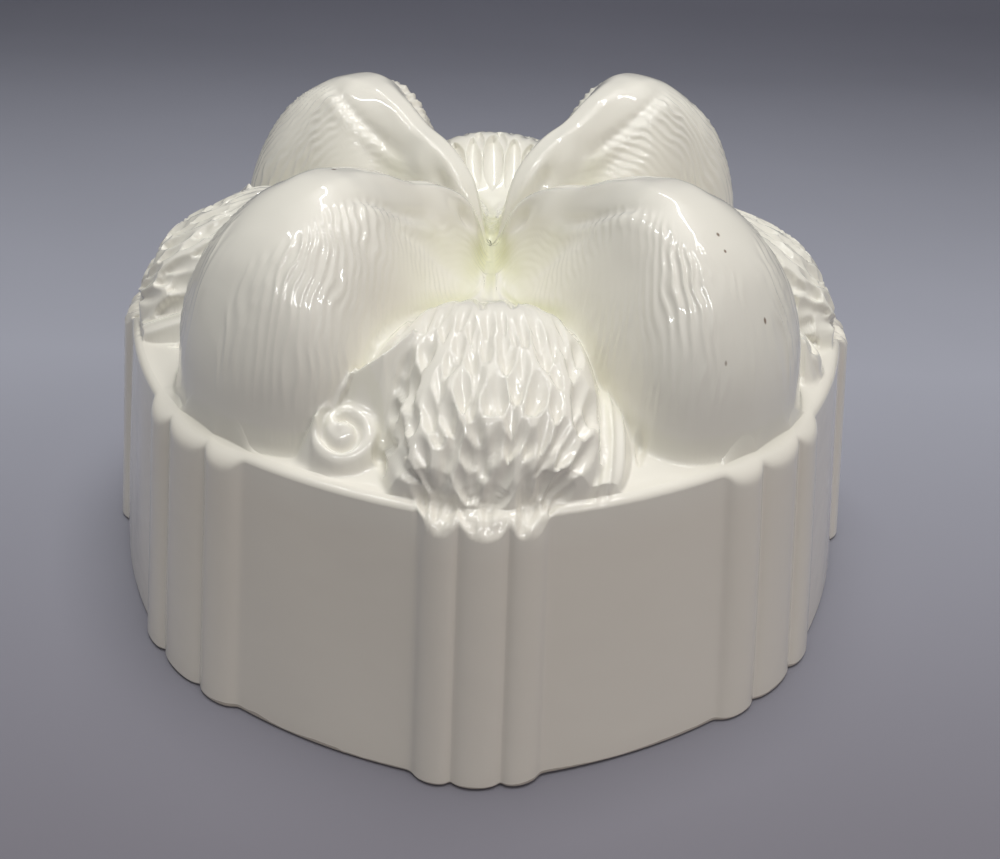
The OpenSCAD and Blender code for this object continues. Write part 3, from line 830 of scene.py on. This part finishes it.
# Lead-glazed cream earthenware, shaped in a plaster mould and dipped: a pale clay under a
# clear, glossy glaze that is thick and greenish where it pooled in the hollows.
def glazed_creamware(finish):
    material = empty_material("glazed_creamware")
    tree = material.node_tree
    place = add_node(tree, "ShaderNodeTexCoord").outputs["Object"]
    pool = add_node(tree, "ShaderNodeAttribute", attribute_name="glaze_pool").outputs["Fac"]
    height = add_node(tree, "ShaderNodeSeparateXYZ", {0: place}).outputs["Z"]
    # Clay colour drifts a little over a few centimetres.
    cloud = add_node(
        tree, "ShaderNodeTexNoise",
        {"Vector": place, "Scale": 1 / 0.045, "Detail": 2.0, "Roughness": 0.5},
    ).outputs["Fac"]
    light, warm = tuple(finish.clay_light) + (1,), tuple(finish.clay_warm) + (1,)
    clay = add_node(tree, "ShaderNodeMix", {0: cloud, 6: light, 7: warm}, data_type="RGBA")
    deep = add_node(
        tree, "ShaderNodeMapRange",
        {"Value": pool, "From Min": 0.05, "From Max": 0.5, "To Max": 0.8},
    ).outputs["Result"]
    pooled = tuple(finish.glaze_pool) + (1,)
    tint = add_node(
        tree, "ShaderNodeMix", {0: deep, 6: clay.outputs[2], 7: pooled}, data_type="RGBA",
    )
    # The wall took a thinner, warmer coat than the crown.
    low = add_node(
        tree, "ShaderNodeMapRange",
        {"Value": height, "From Min": 0.050, "From Max": 0.062, "To Min": 1.0, "To Max": 0.0},
    ).outputs["Result"]
    wall = tuple(finish.wall_clay) + (1,)
    body = add_node(tree, "ShaderNodeMix", {0: low, 6: tint.outputs[2], 7: wall}, data_type="RGBA")
    # Iron specks in the clay, about a millimetre across and longer up and down.
    marks = None
    for x, y, z, radius in SPECKS:
        centre = (x * MM, y * MM, z * MM)
        apart = add_node(tree, "ShaderNodeVectorMath", {0: place, 1: centre}, operation="SUBTRACT")
        drawn = add_node(
            tree, "ShaderNodeVectorMath",
            {0: apart.outputs[0], 1: (1, 1, 0.4)}, operation="MULTIPLY",
        )
        away = add_node(tree, "ShaderNodeVectorMath", {0: drawn.outputs[0]}, operation="LENGTH")
        spot = add_node(
            tree, "ShaderNodeMapRange",
            {"Value": away.outputs["Value"], "From Min": radius * 0.5 * MM, "From Max": radius * MM,
             "To Min": 0.85, "To Max": 0.0},
        ).outputs["Result"]
        if marks is None:
            marks = spot
        else:
            both = add_node(tree, "ShaderNodeMath", {0: marks, 1: spot}, operation="MAXIMUM")
            marks = both.outputs[0]
    speck = tuple(finish.speck) + (1,)
    dotted = add_node(
        tree, "ShaderNodeMix", {0: marks, 6: body.outputs[2], 7: speck}, data_type="RGBA",
    )
    # The edge that the mould stands on is rubbed brown over about 1 mm.
    edge_noise = add_node(
        tree, "ShaderNodeTexNoise", {"Vector": place, "Scale": 1 / 0.012, "Detail": 3.0},
    ).outputs["Fac"]
    reach = add_node(tree, "ShaderNodeMath", {0: edge_noise, 1: 0.0022}, operation="MULTIPLY")
    rub = add_node(
        tree, "ShaderNodeMath", {0: height, 1: reach.outputs[0]}, operation="LESS_THAN",
    )
    rub_part = add_node(tree, "ShaderNodeMath", {0: rub.outputs[0], 1: 0.55}, operation="MULTIPLY")
    rubbed = tuple(finish.foot_rub) + (1,)
    coat = add_node(
        tree, "ShaderNodeMix",
        {0: rub_part.outputs[0], 6: dotted.outputs[2], 7: rubbed}, data_type="RGBA",
    )
    # Orange peel of the glaze: swells about 6 mm apart, a few hundredths of a millimetre high.
    peel = add_node(
        tree, "ShaderNodeTexNoise",
        {"Vector": place, "Scale": 1 / 0.006, "Detail": 1.5, "Roughness": 0.45},
    ).outputs["Fac"]
    ripple = add_node(
        tree, "ShaderNodeBump", {"Strength": 0.6, "Distance": 0.00014, "Height": peel},
    )
    shader = add_node(
        tree, "ShaderNodeBsdfPrincipled",
        {
            "Base Color": coat.outputs[2],
            "Roughness": 0.34,
            "IOR": 1.5,
            "Coat Weight": 1.0,
            "Coat Roughness": finish.gloss_roughness,
            "Coat IOR": 1.54,
            "Normal": ripple.outputs[0],
            "Coat Normal": ripple.outputs[0],
        },
    )
    out = add_node(tree, "ShaderNodeOutputMaterial")
    tree.links.new(shader.outputs[0], out.inputs[0])
    return material


# Painted board of a photographer's table: matt, pale grey-lavender, with a faint mottle.
def matt_board(stage):
    material = empty_material("matt_painted_board")
    tree = material.node_tree
    place = add_node(tree, "ShaderNodeTexCoord").outputs["Object"]
    back = add_node(tree, "ShaderNodeSeparateXYZ", {0: place}).outputs["Y"]
    mottle = add_node(
        tree, "ShaderNodeTexNoise", {"Vector": place, "Scale": 1 / 0.09, "Detail": 2.0},
    ).outputs["Fac"]
    # The board is lit unevenly: darker before the mould and far behind it.
    run = add_node(tree, "ShaderNodeMapRange", {"Value": back, "From Min": -0.13, "From Max": 0.56})
    shades = add_node(tree, "ShaderNodeValToRGB", {0: run.outputs["Result"]})
    ramp = shades.color_ramp
    ramp.elements[0].position, ramp.elements[0].color = 0.0, tuple(stage.board_near) + (1,)
    ramp.elements[1].position, ramp.elements[1].color = 1.0, tuple(stage.board_far) + (1,)
    middle = ramp.elements.new(0.3)
    middle.color = tuple(stage.board_middle) + (1,)
    shade = add_node(
        tree, "ShaderNodeMapRange", {"Value": mottle, "To Min": 0.96, "To Max": 1.04},
    ).outputs["Result"]
    tinted = add_node(
        tree, "ShaderNodeVectorMath", {0: shades.outputs[0], 3: shade}, operation="SCALE",
    )
    shader = add_node(
        tree, "ShaderNodeBsdfPrincipled",
        {"Base Color": tinted.outputs[0], "Roughness": 0.6, "IOR": 1.4},
    )
    out = add_node(tree, "ShaderNodeOutputMaterial")
    tree.links.new(shader.outputs[0], out.inputs[0])
    return material


# ---------------------------------------------------------------- what a user may change


def length(name, description, mm):
    """A size that a user may change, given here in mm."""
    return FloatProperty(
        name=name, description=description, default=mm * MM, min=0,
        subtype="DISTANCE", unit="LENGTH",
    )


def colour(name, description, code):
    """A colour that a user may change, given here as sRGB hex."""
    return FloatVectorProperty(
        name=name, description=description, default=linear(code)[:3], min=0, max=1,
        size=3, subtype="COLOR",
    )


class MouldSize(bpy.types.PropertyGroup):
    """Sizes of the casting."""

    mouth_across: length("Mouth across", "Width of the mouth over the outermost reeds", 188)
    wall_h: length("Wall height", "Height of the reeded wall, table to rim", 58.5)
    wall_draft: FloatProperty(
        name="Wall lean", description="Lean of the wall inward from upright",
        default=math.radians(9), subtype="ANGLE",
    )
    wall_t: length("Clay thickness", "Thickness of the fired clay", 4.5)
    panel_bow: length("Panel bow", "Outward bow of each plain panel at its middle", 1.6)
    foot_round: length("Foot rounding", "Rounding of the edge the mould stands on", 1)
    lip_drop: length("Lip rounding", "Height of the rounded lip between panels and ledge", 1.4)
    reed_rise: length("Reed rise", "How far each reed stands out from its grooves", 2)
    face_reed_mid: length("Face reed, middle", "Width of the middle reed of a face group", 9.8)
    face_reed_side: length("Face reed, side", "Width of the side reeds of a face group", 7.6)
    corner_reed_mid: length("Corner reed, middle", "Width of the middle reed of a corner group", 14)
    corner_reed_side: length("Corner reed, side", "Width of the side reeds of a corner group", 10.2)
    reed_head_drop: length("Reed head drop", "How far the head of a reed falls below the rim", 3)
    lobe_rise: length("Lobe rise", "Height of the lobe peaks above the rim", 43.5)
    lobe_reach: length("Lobe reach", "Length of a lobe from the middle of the crown", 79)
    lobe_half_w: length("Lobe half width", "Half width of a lobe at its widest", 23)
    crest_half_w: length("Crest half width", "Half width of the smooth band along a crest", 4.2)
    lobe_fullness: FloatProperty(
        name="Lobe fullness", description="Fullness of a lobe's sides, larger is squarer",
        default=2.4, min=2, max=3,
    )
    bunch_rise: length("Bunch rise", "Height of a bunch of leaves above the rim", 25)
    bunch_half_w: length("Bunch half width", "Half width of a bunch at its widest", 22.5)
    middle_rise: length("Middle rise", "Height of the middle of the crown above the rim", 15.5)
    ledge_rise: length("Ledge rise", "Rise of the narrow ledge inside the rim", 1.4)


class MouldFinish(bpy.types.PropertyGroup):
    """Colours of the clay and glaze."""

    clay_light: colour("Clay, light", "Cream clay under clear glaze", "#f3f2e8")
    clay_warm: colour("Clay, warm", "Cream clay where it fired warmer", "#efeadf")
    wall_clay: colour("Wall", "Clay of the wall, under a thinner coat", "#ece6da")
    glaze_pool: colour("Pooled glaze", "Clay under thick, slightly green glaze", "#dedebb")
    speck: colour("Specks", "Iron specks in the clay", "#6b4a2e")
    foot_rub: colour("Foot", "Rubbed edge that the mould stands on", "#8a7a68")
    gloss_roughness: FloatProperty(
        name="Gloss roughness", description="Roughness of the glaze's own surface",
        default=0.045, min=0, max=1,
    )


class MouldStage(bpy.types.PropertyGroup):
    """Table, lamps and camera."""

    board_near: colour("Board, near", "Colour of the board before the mould", "#77747d")
    board_middle: colour("Board, middle", "Colour of the board under the mould", "#a6a8b4")
    board_far: colour("Board, far", "Colour of the board behind the mould", "#60616c")
    lamp_power: FloatProperty(
        name="Lamp", description="Power of the large lamp overhead",
        default=8.8, min=0, subtype="POWER", unit="POWER",
    )
    camera_lens: FloatProperty(
        name="Lens", description="Focal length for a 36 mm wide sensor",
        default=38.47, min=1, unit="CAMERA",
    )
    lamp_count: IntProperty(
        name="Tube lamps", description="Thin lamps that make the glints", default=3, min=0, max=3,
    )


# ---------------------------------------------------------------- operators


class MOULD_OT_casting(bpy.types.Operator):
    """Make the glazed casting: reeded wall, moulded crown and hollow"""

    bl_idname = "mould.casting"
    bl_label = "Make casting"

    def execute(self, context):
        size, finish = context.scene.mould_size, context.scene.mould_finish
        points, faces, owner, pool = casting(size)
        normals = normals_of(points, faces)
        material = glazed_creamware(finish)
        owner = np.array(owner)
        for name in sorted(set(owner.tolist())):
            own = [faces[i] for i in np.where(owner == name)[0]]
            make_piece(name, points, own, normals, pool, material)
        return {"FINISHED"}


class MOULD_OT_stage(bpy.types.Operator):
    """Make the table, the lamps and the camera"""

    bl_idname = "mould.stage"
    bl_label = "Make stage"

    def execute(self, context):
        stage = context.scene.mould_stage
        make_board(stage)
        make_lamps(stage)
        make_camera(stage)
        return {"FINISHED"}


def make_board(stage):
    """A board that sweeps up behind the mould, as one curved sheet."""
    bend_at, sweep = 0.45, 0.35
    profile = [(-1.2, 0.0), (-0.4, 0.0), (0.0, 0.0), (bend_at, 0.0)]
    for i in range(1, 13):
        a = math.radians(90 * i / 12)
        profile.append((bend_at + sweep * math.sin(a), sweep * (1 - math.cos(a))))
    profile += [(0.8, 0.8), (0.8, 1.6)]
    xs = np.linspace(-1.6, 1.6, 9)
    verts = [(x, y, z) for y, z in profile for x in xs]
    n = len(xs)
    faces = []
    for row in range(len(profile) - 1):
        for a in range(row * n, row * n + n - 1):
            faces.append((a, a + 1, a + n + 1, a + n))
    mesh = bpy.data.meshes.new("board")
    mesh.from_pydata(verts, [], faces)
    mesh.polygons.foreach_set("use_smooth", np.ones(len(mesh.polygons), bool))
    mesh.materials.append(matt_board(stage))
    board = bpy.data.objects.new("board", mesh)
    bpy.context.scene.collection.objects.link(board)


def lamp(name, place, aim, wide, deep, power, tone, glints):
    """A flat lamp. One that makes glints is seen only in the gloss, any other only lights."""
    data = bpy.data.lights.new(name, "AREA")
    data.shape, data.size, data.size_y = "RECTANGLE", wide, deep
    data.energy, data.color = power, tone
    made = bpy.data.objects.new(name, data)
    bpy.context.scene.collection.objects.link(made)
    made.location = place
    made.rotation_euler = (Vector(aim) - Vector(place)).to_track_quat("-Z", "Y").to_euler()
    made.visible_glossy, made.visible_diffuse = glints, not glints


def make_lamps(stage):
    """A large lamp overhead, a weak one from the right, tubes for glints, and a dim room."""
    power = stage.lamp_power
    lamp("overhead", (0.05, 0.02, 1.1), (0, 0, 0.05), 0.7, 0.7, power, (1.0, 0.995, 0.98), False)
    lamp(
        "right_fill", (1.0, -1.1, 0.7), (0, 0, 0.04), 1.8, 1.3, power * 0.42, (1.0, 0.88, 0.83),
        False,
    )
    tubes = ((-0.15, -0.35, 1.2), (0.25, 0.25, 1.3), (0.2, -1.0, 0.95))
    for i, place in enumerate(tubes[: stage.lamp_count]):
        lamp(
            f"tube_{i + 1}", place, (0, 0, 0.08), 1.3, 0.03, power * 0.36, (1.0, 1.0, 1.0), True,
        )
    world = bpy.data.worlds.new("room")
    bpy.context.scene.world = world
    world.use_nodes = True
    tree = world.node_tree
    tree.nodes.clear()
    back = add_node(tree, "ShaderNodeBackground", {"Color": linear("#c6c6c4"), "Strength": 0.48})
    out = add_node(tree, "ShaderNodeOutputWorld")
    tree.links.new(back.outputs[0], out.inputs[0])


def make_camera(stage):
    """The camera that the photograph's view needs: 33 degrees above the table, a little close."""
    lift, roll, yaw = math.radians(32.687), math.radians(-2.515), math.radians(-1.275)
    forward = Vector((0, math.cos(lift), -math.sin(lift)))
    up = Vector((0, math.sin(lift), math.cos(lift)))
    right = Vector((1, 0, 0))
    aim, away = Vector((3.871, 0, 23.092)) * MM, 272.9 * MM
    place = aim - forward * away
    side = right * math.cos(roll) - up * math.sin(roll)
    top = right * math.sin(roll) + up * math.cos(roll)
    turn = Matrix.Rotation(yaw, 4, "Z")
    matrix = Matrix.Identity(4)
    for i in range(3):
        for j, column in enumerate((side, top, -forward, place)):
            matrix[i][j] = column[i]
    data = bpy.data.cameras.new("camera")
    data.sensor_width, data.lens = 36, stage.camera_lens
    data.clip_start, data.clip_end = 0.01, 20
    camera = bpy.data.objects.new("camera", data)
    bpy.context.scene.collection.objects.link(camera)
    camera.matrix_world = turn @ matrix
    bpy.context.scene.camera = camera


class MOULD_PT_panel(bpy.types.Panel):
    """Sizes, colours and the buttons that make the pieces"""

    bl_idname = "MOULD_PT_panel"
    bl_label = "Jelly mould"
    bl_space_type = "VIEW_3D"
    bl_region_type = "UI"
    bl_category = "Mould"

    def draw(self, context):
        scene = context.scene
        for title, group, made in (
            ("Casting", scene.mould_size, "mould.casting"),
            ("Glaze", scene.mould_finish, None),
            ("Stage", scene.mould_stage, "mould.stage"),
        ):
            box = self.layout.box()
            box.label(text=title)
            for key in group.__annotations__:
                box.prop(group, key)
            if made:
                box.operator(made)


CLASSES = (MouldSize, MouldFinish, MouldStage, MOULD_OT_casting, MOULD_OT_stage, MOULD_PT_panel)


def register():
    """Register the classes and give the scene its groups of properties."""
    for made in CLASSES:
        bpy.utils.register_class(made)
    bpy.types.Scene.mould_size = PointerProperty(type=MouldSize)
    bpy.types.Scene.mould_finish = PointerProperty(type=MouldFinish)
    bpy.types.Scene.mould_stage = PointerProperty(type=MouldStage)


def unregister():
    """Take away what register added."""
    del bpy.types.Scene.mould_size
    del bpy.types.Scene.mould_finish
    del bpy.types.Scene.mould_stage
    for made in reversed(CLASSES):
        bpy.utils.unregister_class(made)


def main():
    """Make everything."""
    register()
    bpy.context.scene.view_settings.view_transform = "Standard"
    bpy.ops.mould.stage()
    bpy.ops.mould.casting()


if __name__ == "__main__":
    main()
